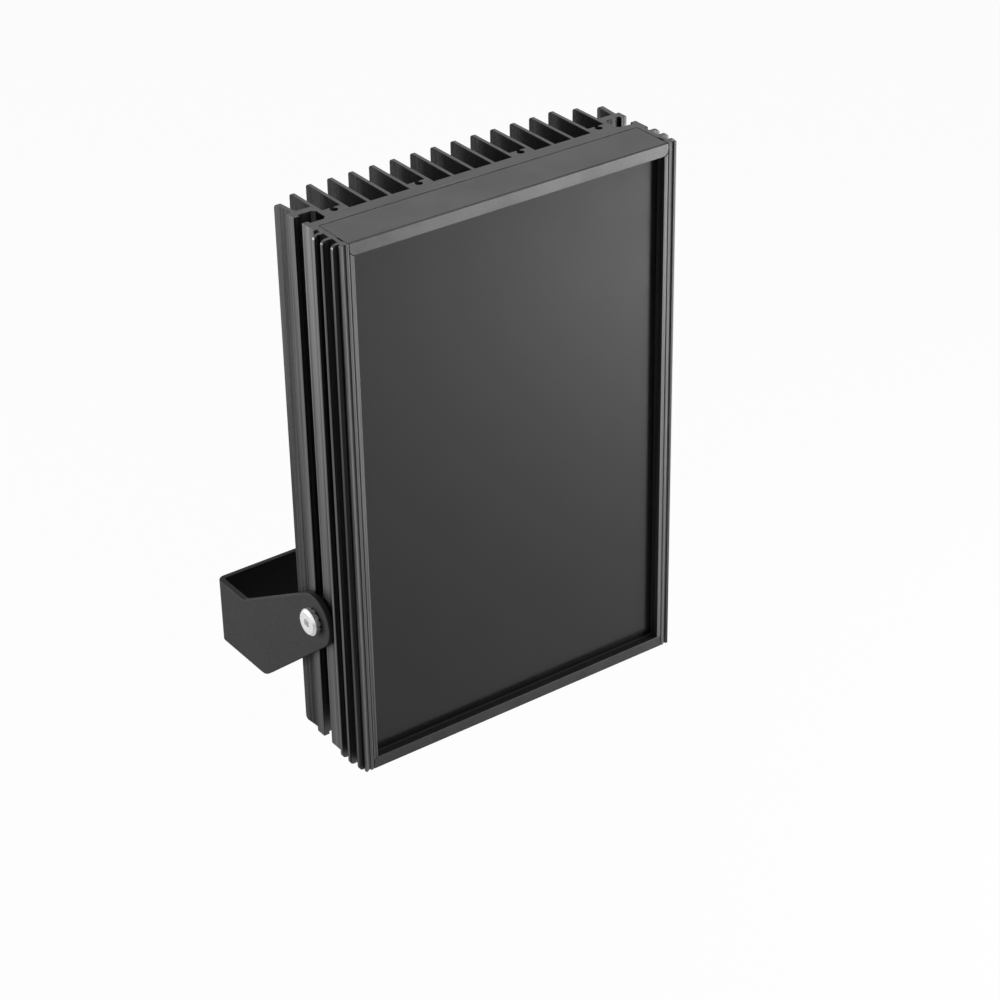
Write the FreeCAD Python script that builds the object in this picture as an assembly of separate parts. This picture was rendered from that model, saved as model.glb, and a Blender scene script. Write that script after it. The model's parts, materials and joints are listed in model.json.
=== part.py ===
import FreeCAD, Part
import math
import os

from FreeCAD import Vector

# Infrared illuminator: a finned aluminium extrusion holding two boards of infrared emitters
# behind a dark window, hung between the arms of a folded steel bracket.
#
# All sizes are millimetres. They are given in the lamp's own frame: x across, y from the front
# face to the rear, z up from the bottom end. The finished pieces are moved at the end, so that
# the origin is the middle of the bracket's wall face. The light leaves towards -y.

# Housing extrusion: front edge and window channel
lamp_height = 270.0
wall_half = 88.2             # from the middle to the outer face of each side wall
front_lip_depth = 4.0        # front lip that holds the window in
opening_inset = 5.0          # window opening, in from the side wall's outer face
edge_inset = 0.9             # outer side of the front edge, in from that same face
edge_groove_width = 1.4      # narrow groove between the front edge and the corner rim
edge_groove_depth = 0.8
edge_line_width = 0.5        # fine V line down the front edge, in line with the caps' ends
edge_line_depth = 0.5
channel_inset = 1.8          # side of the window channel, in from the side wall's outer face

# Housing extrusion: side walls, side fins and bolt slots
side_wall = 6.2
base_thickness = 9.8         # wall that carries the boards in front and the cooling fins behind
rib_reach = 1.8              # corner rim, rib and the slot's rear lip stand out this far from the side wall
rim_depth = 1.5
rim_notch_width = 1.2        # notch between the corner rim and the first side fin
rim_notch_depth = 0.9
side_fin_reach = 4.7         # thin side fins, out from the side wall
first_fin_shorter = 0.9      # the first side fin stands out less by this much
side_fin_thickness = 1.8
side_fin_pitch = 6.5
side_fin_count = 3
side_fin_end_radius = 2.2    # the side fins' ends are rounded off
rib_gap = 3.1                # from the last side fin to the rib
slot_y = 33.0                # middle of the bolt slot, which is the tilt axis too
slot_clearance = 0.3         # between the bolt and the sides of the slot's mouth
slot_lip = 3.0
slot_depth = 8.4             # room for the nut behind the lips
slot_corner = 1.6            # bevel of the slot's inner corners
rear_lip_length = 5.7
wing_inset = 0.2             # wing behind the slot, in from the side wall's outer face at its root
wing_flare = 1.0             # the wing leans outwards by this much at its tip
wing_thickness = 2.5
wing_length = 12.0

# Housing extrusion: cooling fins
fin_pitch = 11.0
fin_thickness = 2.0
fin_length = 32.0            # from the floor of the gaps to the fins' rear edges
end_fin_inset = 1.6          # middle of the outermost fin, in from the bolt slot's floor
end_fin_shorter = 4.0
fin_end_radius = 1.5
wing_end_radius = 2.0
port_gap_count = 2           # gaps between the middle fin and the one with the inner screw port
port_height = 4.6
port_bore_radius = 1.7
port_bore_lift = 2.2         # from the gap's floor to the port's bore
port_mouth = 1.8

# End caps
cap_inset = 1.8              # cap's end, in from the front edge's outer side
cap_thickness = 3.0
cap_beyond_cavity = 2.0      # the cap reaches this far behind the cavity
cap_lip_height = 5.9         # the caps' front lips are the top and bottom of the window frame
cap_lip_radius = 3.0
cap_seam = 0.25              # clearance round each cap
cap_line_front = 0.8         # fine line along each cap, just behind its front edge
cap_line_width = 0.5
cap_line_depth = 0.7
cap_gasket_thickness = 0.6
skirt_depth = 9.0
skirt_wall = 3.0
skirt_clearance = 0.2
cap_screw_radius = 2.0
cap_screw_head_radius = 3.5
cap_screw_head_height = 2.6
cap_screw_bite = 2.6         # length of a cap screw in the skirt
head_edge = 0.6              # bevel round the screw heads

# Window
window_thickness = 3.0
window_gasket_thickness = 1.0
window_side_clearance = 0.2
window_rear_clearance = 0.2
window_room = 3.9            # from the channel to the reflectors

# Screws, holes and soft pads inside
screw_clearance = 0.15
thread_clearance = 0.05
small_screw_radius = 1.5
small_head_radius = 2.75
small_head_height = 2.2
small_screw_bite = 6.0       # length of a small screw in the housing's base
board_end_clearance = 2.0    # from a cap's skirt to the nearest board

# Emitter boards and reflectors, one pair above the other
board_thickness = 1.6
pad_thickness = 0.5
pad_screw_room = 3.5         # the thermal pads end this far short of the screws
emitter_board_side_room = 3.0
emitter_board_gap = 4.0
emitter_pitch_x = 24.0
emitter_pitch_z = 18.5
emitter_size = 3.5
emitter_height = 1.6
reflector_depth = 7.0
reflector_margin = 2.0       # strip of board left bare above and below the reflector
reflector_wall_x = 4.0       # between neighbouring cups, at their front
reflector_wall_z = 2.0
cup_rear = 5.0
reflector_screw_inset_x = 3.5
reflector_screw_inset_z = 4.0

# Driver board
driver_side_room = 4.0
driver_height = 70.0
driver_gap = 8.0             # from the driver board up to the lower emitter board
driver_standoff = 2.5
driver_standoff_flats = 5.0
driver_screw_inset = 5.0
driver_cable_hole_radius = 12.0
choke_radius = 9.0
choke_bore_radius = 3.5
choke_height = 6.5
choke_x = -43.0
choke_up = 24.0              # heights on the driver board are counted from its lower edge
capacitor_radius = 3.8
capacitor_length = 16.0
capacitor_pitch = 10.0
capacitor_count = 3
capacitors_x = 28.0
capacitors_up = 8.0
terminal_from_hole = 6.0
terminal_width = 9.0
terminal_height = 12.0
terminal_depth = 7.5
terminal_wire_radius = 1.6
terminal_wire_depth = 6.0
terminal_ways = 2
photocell_radius = 2.5
photocell_height = 6.0
photocell_edge = 0.8
photocell_x = -58.0
photocell_up = 56.0
link_half = 6.0              # half width of the plugs that join the boards
link_thickness = 3.0
link_overlap = 4.0

# Cable gland
gland_z = 60.0
gland_thread_radius = 8.0
gland_flats = 20.0
gland_ring_margin = 0.5      # the sealing ring stands out this far past the flats
gland_ring_thickness = 1.5
gland_hex_length = 6.0
gland_collar_radius = 7.4
gland_bore_radius = 6.2
gland_nut_length = 11.5
gland_end_gap = 1.0          # from the collar's end to the inside of the nut
gland_dome_length = 6.0
gland_exit_radius = 5.0
gland_exit_wall = 1.5
gland_seal_length = 10.0
gland_cable_radius = 3.5
pocket_side_room = 5.0       # the three middle fins are milled away round the gland
pocket_end_room = 6.5

# Tilt pivot
pivot_z = 69.0
bolt_radius = 3.0
bolt_tip = 1.0               # the bolt's end, past the nut
bolt_head_radius = 6.7
bolt_head_height = 3.0
bolt_head_edge = 1.1
bolt_socket_flats = 4.0
bolt_socket_depth = 2.2
bolt_hole_clearance = 0.1
lock_washer_radius = 6.6
lock_washer_thickness = 1.0
lock_washer_teeth = 12
lock_washer_notch_depth = 1.3
lock_washer_notch_width = 1.2
pivot_washer_radius = 9.0
pivot_washer_thickness = 1.0
nut_width = 10.0
nut_height = 16.0
nut_thickness = 5.0
nut_side_clearance = 0.1

# Bracket, folded from one sheet
sheet = 3.0
wall_distance = 90.5         # from the tilt axis to the wall face
strap_drop = 57.0            # from the tilt axis down to the strap's lower edge
strap_height = 34.8
eye_radius = 13.3            # round end of each arm
upper_kink_back = 65.0       # from the tilt axis to the bend in the arm's upper edge
lower_kink_back = 48.5
upper_kink_radius = 4.0
lower_kink_radius = 10.0
bend_inner_radius = 1.0
wall_centre_hole_radius = 5.25
wall_bolt_hole_radius = 3.25
wall_bolt_spacing = 80.0

# Helpers of the construction
overshoot = 1.0              # a cut starts and ends this far outside what it cuts
tiny = 1e-6                  # two places nearer than this are the same

# Widths that follow from the sizes above
opening_half = wall_half - opening_inset
edge_half = wall_half - edge_inset
channel_half = wall_half - channel_inset
window_half = channel_half - window_side_clearance
cavity_half = wall_half - side_wall
rib_half = wall_half + rib_reach
side_fin_half = wall_half + side_fin_reach
first_fin_half = side_fin_half - first_fin_shorter
wing_half = wall_half - wing_inset
slot_mouth = 2 * (bolt_radius + slot_clearance)
slot_half_inside = nut_width / 2 + nut_side_clearance
slot_floor = rib_half - slot_lip - slot_depth
end_fin_x = slot_floor - end_fin_inset
fins_each_side = int(end_fin_x / fin_pitch - 0.5)
fin_places = [n * fin_pitch for n in range(fins_each_side + 1)] + [end_fin_x]
cap_half = edge_half - cap_inset
arm_inside = rib_half + pivot_washer_thickness
arm_outside = arm_inside + sheet
emitter_board_half = cavity_half - emitter_board_side_room
reflector_screw_x = emitter_board_half - reflector_screw_inset_x
pad_half = reflector_screw_x - pad_screw_room
emitter_columns = int(2 * (reflector_screw_x - small_head_radius) / emitter_pitch_x)
driver_half = cavity_half - driver_side_room
gland_ring_radius = gland_flats / 2 + gland_ring_margin

# Depths, from the front face to the rear
window_front = front_lip_depth + window_gasket_thickness
channel_rear = window_front + window_thickness + window_rear_clearance
reflector_front = channel_rear + window_room
board_front = reflector_front + reflector_depth
cavity_rear = board_front + board_thickness + pad_thickness
driver_rear = cavity_rear - driver_standoff
driver_front = driver_rear - board_thickness
cap_rear = cavity_rear + cap_beyond_cavity
cap_screw_tip = cavity_rear - skirt_clearance - cap_screw_bite
base_rear = cavity_rear + base_thickness
fin_rear = base_rear + fin_length
end_fin_rear = fin_rear - end_fin_shorter
first_side_fin = rim_depth + rim_notch_width
last_side_fin_rear = first_side_fin + (side_fin_count - 1) * side_fin_pitch + side_fin_thickness
rib_front = last_side_fin_rear + rib_gap
rear_lip_end = slot_y + slot_mouth / 2 + rear_lip_length
wing_rear = rear_lip_end + wing_length
gland_hex_front = base_rear + gland_ring_thickness
gland_collar_front = gland_hex_front + gland_hex_length
gland_dome_front = gland_collar_front + gland_nut_length
wall_y = slot_y + wall_distance

# Heights, from the lamp's bottom up
pocket_floor_z = lamp_height - cap_thickness - cap_gasket_thickness
cap_screw_from_end = cap_thickness + skirt_depth / 2
driver_bottom = cap_thickness + skirt_depth + board_end_clearance
emitter_board_lowest = driver_bottom + driver_height + driver_gap
boards_high = lamp_height - driver_bottom
emitter_board_height = (boards_high - emitter_board_lowest - emitter_board_gap) / 2
emitter_rows = int((emitter_board_height - 2 * reflector_margin) / emitter_pitch_z)
strap_low = pivot_z - strap_drop
strap_middle = strap_low + strap_height / 2


def block(x0, x1, y0, y1, z0, z1):
    return Part.makeBox(x1 - x0, y1 - y0, z1 - z0, Vector(x0, y0, z0))


def rod(radius, start, direction, length):
    return Part.makeCylinder(radius, length, start, direction)


def tube(outer, inner, start, direction, length):
    return rod(outer, start, direction, length).cut(rod(inner, start, direction, length))


def prism(points, direction):
    face = Part.Face(Part.makePolygon(points + points[:1]))
    return face.extrude(direction)


def runs_along(edge, direction):
    ends = [vertex.Point for vertex in edge.Vertexes]
    return len(ends) == 2 and (ends[1] - ends[0]).cross(direction).Length < tiny


def hexagon(flats, start, direction, length, across):
    # Regular hexagon about start, with the first corner along across.
    side = direction.cross(across)
    reach = flats / math.sqrt(3)
    turns = [math.radians(60 * n) for n in range(6)]
    corners = [start + across * (reach * math.cos(a)) + side * (reach * math.sin(a)) for a in turns]
    return prism(corners, direction * length)


def joined(shapes):
    whole = shapes[0].multiFuse(shapes[1:]) if len(shapes) > 1 else shapes[0]
    return whole.removeSplitter()


def round_edges(shape, radius, chosen):
    return shape.makeFillet(radius, [edge for edge in shape.Edges if chosen(edge)])


def mirrored_x(shape):
    return shape.mirror(Vector(0, 0, 0), Vector(1, 0, 0))


def upside_down(shape):
    return shape.mirror(Vector(0, 0, lamp_height / 2), Vector(0, 0, 1))


def front_edge_outline():
    # From the window opening out to the notch behind the corner rim.
    groove_out = edge_half + edge_groove_width
    line_out = cap_half + cap_seam
    return [
        (opening_half, 0),
        (line_out - edge_line_width, 0),
        (line_out - edge_line_width / 2, edge_line_depth),
        (line_out, 0),
        (edge_half, 0),
        (edge_half, edge_groove_depth),
        (groove_out, edge_groove_depth),
        (groove_out, 0),
        (rib_half, 0),
        (rib_half, rim_depth),
        (rib_half - rim_notch_depth, rim_depth),
    ]


def side_outline():
    # The side fins, up to the rib in front of the bolt slot.
    points = []
    for n in range(side_fin_count):
        root = wall_half if n else rib_half - rim_notch_depth
        tip = side_fin_half if n else first_fin_half
        front = first_side_fin + n * side_fin_pitch
        rear = front + side_fin_thickness
        points += [(root, front), (tip, front), (tip, rear), (wall_half, rear)]
    points += [(wall_half, rib_front), (rib_half, rib_front)]
    return points


def slot_outline():
    mouth = slot_mouth / 2
    under_lip = rib_half - slot_lip
    return [
        (rib_half, slot_y - mouth),
        (under_lip, slot_y - mouth),
        (under_lip, slot_y - slot_half_inside),
        (slot_floor + slot_corner, slot_y - slot_half_inside),
        (slot_floor, slot_y - slot_half_inside + slot_corner),
        (slot_floor, slot_y + slot_half_inside - slot_corner),
        (slot_floor + slot_corner, slot_y + slot_half_inside),
        (under_lip, slot_y + slot_half_inside),
        (under_lip, slot_y + mouth),
        (rib_half, slot_y + mouth),
        (rib_half, rear_lip_end),
    ]


def fin_outline(middle, rear, outer_floor):
    right = middle + fin_thickness / 2
    left = middle - fin_thickness / 2
    return [(right, outer_floor), (right, rear), (left, rear), (left, base_rear)]


def wing_and_fins_outline():
    inner_wing = wing_half - wing_thickness
    points = [
        (wing_half, rear_lip_end),
        (wing_half + wing_flare, wing_rear),
        (inner_wing + wing_flare, wing_rear),
        (inner_wing, rear_lip_end),
    ]
    points += fin_outline(end_fin_x, end_fin_rear, rear_lip_end)
    for middle in reversed(fin_places[1:-1]):
        points += fin_outline(middle, fin_rear, base_rear)
    points += [(fin_thickness / 2, base_rear), (fin_thickness / 2, fin_rear)]
    return points


def cavity_outline():
    return [
        (cavity_half, cavity_rear),
        (cavity_half, channel_rear),
        (channel_half, channel_rear),
        (channel_half, front_lip_depth),
        (opening_half, front_lip_depth),
    ]


def section_outline():
    outside = front_edge_outline() + side_outline() + slot_outline() + wing_and_fins_outline()
    inside = cavity_outline()
    left_outside = [(-x, y) for x, y in reversed(outside)]
    left_inside = [(-x, y) for x, y in reversed(inside)]
    return [Vector(x, y, 0) for x, y in outside + left_outside + left_inside + inside]


def gap_middle(gap):
    # Gaps between the fins are counted from the middle fin, 0 being the first.
    return (fin_places[gap] + fin_places[gap + 1]) / 2


def screw_port(gap):
    # A round bore on the gap's floor, open to the rear by a slot narrower than the bore.
    middle = gap_middle(gap)
    left, right = fin_places[gap] + fin_thickness / 2, fin_places[gap + 1] - fin_thickness / 2
    mouth_rear = base_rear + port_height
    body = block(left, right, base_rear, mouth_rear, 0, lamp_height)
    bore_start = Vector(middle, base_rear + port_bore_lift, 0)
    bore = rod(port_bore_radius, bore_start, Vector(0, 0, 1), lamp_height)
    mouth = block(middle - port_mouth / 2, middle + port_mouth / 2, bore_start.y, mouth_rear, 0, lamp_height)
    return body.cut(bore).cut(mouth)


def round_fin_ends(shape):
    # Rounds the corners at both ends of every cooling fin, wing and side fin.
    def end_corner(on_tip, direction):
        def chosen(edge):
            middle = edge.CenterOfMass
            at_an_end = min(middle.z, lamp_height - middle.z) < tiny
            return at_an_end and on_tip(middle) and runs_along(edge, direction)
        return chosen

    def on_fin(point):
        return min(abs(point.y - fin_rear), abs(point.y - end_fin_rear)) < tiny

    def on_wing(point):
        return abs(point.y - wing_rear) < tiny

    def on_side_fin(point):
        return min(abs(abs(point.x) - half) for half in (first_fin_half, side_fin_half)) < tiny

    across, rearwards = Vector(1, 0, 0), Vector(0, 1, 0)
    shape = round_edges(shape, fin_end_radius, end_corner(on_fin, across))
    shape = round_edges(shape, wing_end_radius, end_corner(on_wing, across))
    return round_edges(shape, side_fin_end_radius, end_corner(on_side_fin, rearwards))


def rounded_lip(half, z0, z1, radius, y0, y1):
    # Strip across the front whose lower corners are rounded.
    strip = block(-half, half, y0, y1, z0, z1)

    def lower_corner(edge):
        middle = edge.CenterOfMass
        return abs(abs(middle.x) - half) < tiny and abs(middle.z - z0) < tiny

    return round_edges(strip, radius, lower_corner)


def cap_recess():
    # Milled into the end of the extrusion, a seam's width larger than the cap.
    half = cap_half + cap_seam
    high = lamp_height + overshoot
    seat = block(-half, half, -overshoot, cap_rear + cap_seam, pocket_floor_z, high)
    lip_low = lamp_height - cap_lip_height - cap_seam
    notch = rounded_lip(half, lip_low, high, cap_lip_radius + cap_seam, -overshoot, front_lip_depth)
    return seat.fuse(notch)


def cap_screw_places():
    z = lamp_height - cap_screw_from_end
    middles = [gap_middle(1), gap_middle(fins_each_side - 1)]
    return [Vector(side * x, base_rear, z) for side in (-1, 1) for x in middles]


def reflector_bottom(index):
    return emitter_board_bottom(index) + reflector_margin


def emitter_board_bottom(index):
    return emitter_board_lowest + index * (emitter_board_height + emitter_board_gap)


def reflector_screw_places(index):
    low = reflector_bottom(index)
    high = emitter_board_bottom(index) + emitter_board_height - reflector_margin
    heights = (low + reflector_screw_inset_z, high - reflector_screw_inset_z)
    return [Vector(x, 0, z) for x in (-reflector_screw_x, reflector_screw_x) for z in heights]


def driver_screw_places():
    x = driver_half - driver_screw_inset
    heights = (driver_bottom + driver_screw_inset, driver_bottom + driver_height - driver_screw_inset)
    return [Vector(side * x, 0, z) for side in (-1, 1) for z in heights]


def small_screw_holes(places):
    depth = small_screw_bite + thread_clearance
    radius = small_screw_radius + thread_clearance
    return [rod(radius, Vector(p.x, cavity_rear, p.z), Vector(0, 1, 0), depth) for p in places]


def housing_extrusion():
    shape = prism(section_outline(), Vector(0, 0, lamp_height))
    ports = [screw_port(port_gap_count), screw_port(fins_each_side)]
    shape = joined([shape] + ports + [mirrored_x(port) for port in ports])
    shape = round_fin_ends(shape)
    recess = cap_recess()
    cuts = [recess, upside_down(recess)]
    through_base = base_thickness + 2 * overshoot
    for place in cap_screw_places():
        start = Vector(place.x, cavity_rear - overshoot, place.z)
        hole = rod(cap_screw_radius + screw_clearance, start, Vector(0, 1, 0), through_base)
        cuts += [hole, upside_down(hole)]
    places = reflector_screw_places(0) + reflector_screw_places(1) + driver_screw_places()
    cuts += small_screw_holes(places)
    pocket_half = gland_ring_radius + pocket_side_room
    pocket_reach = gland_ring_radius + pocket_end_room
    cuts.append(block(-pocket_half, pocket_half, base_rear, fin_rear + overshoot,
                      gland_z - pocket_reach, gland_z + pocket_reach))
    cuts.append(rod(gland_thread_radius + thread_clearance, Vector(0, cavity_rear - overshoot, gland_z),
                    Vector(0, 1, 0), through_base))
    return shape.cut(Part.makeCompound(cuts))


def top_end_cap():
    plate = block(-cap_half, cap_half, 0, cap_rear, lamp_height - cap_thickness, lamp_height)
    lip_low = lamp_height - cap_lip_height
    lip = rounded_lip(cap_half, lip_low, lamp_height, cap_lip_radius, 0, front_lip_depth)
    half = cavity_half - skirt_clearance
    front, rear = channel_rear + skirt_clearance, cavity_rear - skirt_clearance
    low, high = lamp_height - cap_thickness - skirt_depth, lamp_height - cap_thickness
    skirt = block(-half, half, front, rear, low, high)
    inside = block(-half + skirt_wall, half - skirt_wall, front + skirt_wall, rear - skirt_wall, low, high)
    line = block(-cap_half, cap_half, cap_line_front, cap_line_front + cap_line_width,
                 lamp_height - cap_line_depth, lamp_height)
    cap = joined([plate, lip, skirt.cut(inside)]).cut(line)
    for place in cap_screw_places():
        start = Vector(place.x, rear - skirt_wall, place.z)
        cap = cap.cut(rod(cap_screw_radius + thread_clearance, start, Vector(0, 1, 0), skirt_wall))
    return cap


def top_cap_gasket():
    # Flat ring between the cap's plate and the milled seat; its front strip lies on the window's end.
    low = pocket_floor_z
    high = low + cap_gasket_thickness
    outer = block(-cap_half, cap_half, front_lip_depth, cap_rear, low, high)
    hole = block(-cavity_half, cavity_half, channel_rear, cavity_rear, low, high)
    return outer.cut(hole)


def bevelled_disc(radius, height, edge, start, direction):
    # Disc that starts with a bevelled rim.
    cone = Part.makeCone(radius - edge, radius, edge, start, direction)
    return cone.fuse(rod(radius, start + direction * edge, direction, height - edge))


def pan_screw(place, direction, radius, length, head_radius, head_height):
    # Shank along direction from place; the bevelled head stands behind it.
    outer_face = place - direction * head_height
    shank = rod(radius, place, direction, length)
    return shank.fuse(bevelled_disc(head_radius, head_height, head_edge, outer_face, direction))


def cap_screws():
    length = base_rear - cap_screw_tip
    screws = [pan_screw(place, Vector(0, -1, 0), cap_screw_radius, length,
                        cap_screw_head_radius, cap_screw_head_height) for place in cap_screw_places()]
    return Part.makeCompound(screws)


def front_window():
    # Slides down the channel, and the cap gaskets close on its two ends.
    low = lamp_height - pocket_floor_z
    return block(-window_half, window_half, window_front, window_front + window_thickness,
                 low, pocket_floor_z)


def window_gasket():
    low = lamp_height - pocket_floor_z
    outer = block(-window_half, window_half, front_lip_depth, window_front, low, pocket_floor_z)
    inner = block(-opening_half, opening_half, front_lip_depth, window_front,
                  cap_lip_height, lamp_height - cap_lip_height)
    return outer.cut(inner)


def drilled(plate, places, radius, y, depth):
    holes = [rod(radius, Vector(p.x, y, p.z), Vector(0, 1, 0), depth) for p in places]
    return plate.cut(Part.makeCompound(holes))


def emitter_board(index):
    low = emitter_board_bottom(index)
    plate = block(-emitter_board_half, emitter_board_half, board_front, board_front + board_thickness,
                  low, low + emitter_board_height)
    radius = small_screw_radius + screw_clearance
    return drilled(plate, reflector_screw_places(index), radius, board_front, board_thickness)


def thermal_pad(index):
    low = emitter_board_bottom(index)
    return block(-pad_half, pad_half, cavity_rear - pad_thickness, cavity_rear,
                 low, low + emitter_board_height)


def emitter_centres(index):
    middle = emitter_board_bottom(index) + emitter_board_height / 2
    columns = [(n - (emitter_columns - 1) / 2) * emitter_pitch_x for n in range(emitter_columns)]
    rows = [middle + (n - (emitter_rows - 1) / 2) * emitter_pitch_z for n in range(emitter_rows)]
    return [(x, z) for z in rows for x in columns]


def emitters(index):
    half = emitter_size / 2
    front = board_front - emitter_height
    chips = [block(x - half, x + half, front, board_front, z - half, z + half)
             for x, z in emitter_centres(index)]
    return Part.makeCompound(chips)


def reflector_cup(x, z):
    # Four-sided funnel, wide at the front and just clear of the emitter at the rear.
    front_x = (emitter_pitch_x - reflector_wall_x) / 2
    front_z = (emitter_pitch_z - reflector_wall_z) / 2
    rear = cup_rear / 2
    return Part.makeWedge(x - front_x, reflector_front, z - front_z, z - rear, x - rear,
                          x + front_x, board_front, z + front_z, z + rear, x + rear)


def reflector(index):
    low = reflector_bottom(index)
    high = low + emitter_board_height - 2 * reflector_margin
    plate = block(-emitter_board_half, emitter_board_half, reflector_front, board_front, low, high)
    cups = [reflector_cup(x, z) for x, z in emitter_centres(index)]
    plate = plate.cut(Part.makeCompound(cups))
    radius = small_screw_radius + screw_clearance
    return drilled(plate, reflector_screw_places(index), radius, reflector_front, reflector_depth)


def reflector_screws(index):
    length = cavity_rear + small_screw_bite - reflector_front
    return Part.makeCompound([pan_screw(Vector(p.x, reflector_front, p.z), Vector(0, 1, 0),
                                        small_screw_radius, length, small_head_radius, small_head_height)
                              for p in reflector_screw_places(index)])


def board_link():
    # Plug that carries the current from one emitter board to the next.
    high = emitter_board_bottom(1) + reflector_margin
    low = emitter_board_bottom(1) - emitter_board_gap - reflector_margin
    return block(-link_half, link_half, board_front - link_thickness, board_front, low, high)


def driver_board():
    plate = block(-driver_half, driver_half, driver_front, driver_rear,
                  driver_bottom, driver_bottom + driver_height)
    opening = rod(driver_cable_hole_radius, Vector(0, driver_front, gland_z), Vector(0, 1, 0), board_thickness)
    radius = small_screw_radius + screw_clearance
    return drilled(plate.cut(opening), driver_screw_places(), radius, driver_front, board_thickness)


def driver_standoffs():
    # Short hexagonal spacers behind the board, one round each screw.
    towards_rear = Vector(0, 1, 0)
    spacers = []
    for place in driver_screw_places():
        start = Vector(place.x, driver_rear, place.z)
        spacer = hexagon(driver_standoff_flats, start, towards_rear, driver_standoff, Vector(0, 0, 1))
        bore = rod(small_screw_radius + screw_clearance, start, towards_rear, driver_standoff)
        spacers.append(spacer.cut(bore))
    return Part.makeCompound(spacers)


def driver_screws():
    length = cavity_rear + small_screw_bite - driver_front
    return Part.makeCompound([pan_screw(Vector(p.x, driver_front, p.z), Vector(0, 1, 0),
                                        small_screw_radius, length, small_head_radius, small_head_height)
                              for p in driver_screw_places()])


def driver_link():
    # Stepped plug from the driver board up to the lower emitter board.
    top = driver_bottom + driver_height
    board_low = emitter_board_bottom(0)
    high = board_low + reflector_margin
    body = block(-link_half, link_half, driver_front - link_thickness, driver_front, top - link_overlap, high)
    foot = block(-link_half, link_half, driver_front, board_front, board_low, high)
    return joined([body, foot])


def choke():
    start = Vector(choke_x, driver_front, driver_bottom + choke_up)
    return tube(choke_radius, choke_bore_radius, start, Vector(0, -1, 0), choke_height)


def capacitors():
    y = driver_front - capacitor_radius
    places = [Vector(capacitors_x + n * capacitor_pitch, y, driver_bottom + capacitors_up)
              for n in range(capacitor_count)]
    return Part.makeCompound([rod(capacitor_radius, place, Vector(0, 0, 1), capacitor_length)
                              for place in places])


def terminal_block():
    # Its wire holes are in the side that faces the gland.
    x0 = driver_cable_hole_radius + terminal_from_hole
    low = gland_z - terminal_height / 2
    body = block(x0, x0 + terminal_width, driver_front - terminal_depth, driver_front,
                 low, low + terminal_height)
    pitch = terminal_height / terminal_ways
    for n in range(terminal_ways):
        start = Vector(x0, driver_front - terminal_depth / 2, low + (n + 0.5) * pitch)
        body = body.cut(rod(terminal_wire_radius, start, Vector(1, 0, 0), terminal_wire_depth))
    return body


def photocell():
    face = Vector(photocell_x, driver_front - photocell_height, driver_bottom + photocell_up)
    return bevelled_disc(photocell_radius, photocell_height, photocell_edge, face, Vector(0, 1, 0))


def gland_body():
    towards_rear = Vector(0, 1, 0)
    collar_length = gland_nut_length - gland_end_gap
    stub = rod(gland_thread_radius, Vector(0, cavity_rear, gland_z), towards_rear,
               gland_hex_front - cavity_rear)
    collar_hex = hexagon(gland_flats, Vector(0, gland_hex_front, gland_z), towards_rear,
                         gland_hex_length, Vector(0, 0, 1))
    collar = rod(gland_collar_radius, Vector(0, gland_collar_front, gland_z), towards_rear, collar_length)
    whole = joined([stub, collar_hex, collar])
    reach = gland_collar_front + collar_length - cavity_rear
    return whole.cut(rod(gland_bore_radius, Vector(0, cavity_rear, gland_z), towards_rear, reach))


def gland_ring():
    return tube(gland_ring_radius, gland_thread_radius + thread_clearance,
                Vector(0, base_rear, gland_z), Vector(0, 1, 0), gland_ring_thickness)


def gland_seal():
    start = Vector(0, gland_dome_front - gland_seal_length, gland_z)
    return tube(gland_bore_radius - thread_clearance, gland_cable_radius, start,
                Vector(0, 1, 0), gland_seal_length)


def gland_nut():
    towards_rear = Vector(0, 1, 0)
    start = Vector(0, gland_collar_front, gland_z)
    hex_part = hexagon(gland_flats, start, towards_rear, gland_nut_length, Vector(0, 0, 1))
    shoulder = Vector(0, gland_dome_front, gland_z)
    exit_radius = gland_exit_radius + gland_exit_wall
    dome = Part.makeCone(gland_flats / 2, exit_radius, gland_dome_length, shoulder, towards_rear)
    whole = hex_part.fuse(dome)
    whole = whole.cut(rod(gland_collar_radius + thread_clearance, start, towards_rear, gland_nut_length))
    return whole.cut(rod(gland_exit_radius, shoulder, towards_rear, gland_dome_length)).removeSplitter()


def pivot_bolt():
    # Right-hand bolt: a broad head with a hexagon socket, and a shank through to the slot's nut.
    inward = Vector(-1, 0, 0)
    seat = Vector(arm_outside + lock_washer_thickness, slot_y, pivot_z)
    outer_face = seat - inward * bolt_head_height
    nut_inside = rib_half - slot_lip - nut_thickness
    shank = rod(bolt_radius, seat, inward, seat.x - nut_inside + bolt_tip)
    head = bevelled_disc(bolt_head_radius, bolt_head_height, bolt_head_edge, outer_face, inward)
    socket = hexagon(bolt_socket_flats, outer_face, inward, bolt_socket_depth, Vector(0, 0, 1))
    return shank.fuse(head).cut(socket)


def lock_washer():
    # Toothed washer between the bolt's head and the arm.
    outward = Vector(1, 0, 0)
    start = Vector(arm_outside, slot_y, pivot_z)
    ring = tube(lock_washer_radius, bolt_radius + thread_clearance, start, outward, lock_washer_thickness)
    inner = lock_washer_radius - lock_washer_notch_depth
    half = lock_washer_notch_width / 2
    notch = block(start.x, start.x + lock_washer_thickness, slot_y - half, slot_y + half,
                  pivot_z + inner, pivot_z + lock_washer_radius + half)
    notches = [notch.rotated(start, outward, n * 360 / lock_washer_teeth) for n in range(lock_washer_teeth)]
    return ring.cut(Part.makeCompound(notches))


def pivot_washer():
    start = Vector(rib_half, slot_y, pivot_z)
    return tube(pivot_washer_radius, bolt_radius + thread_clearance, start,
                Vector(1, 0, 0), pivot_washer_thickness)


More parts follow.
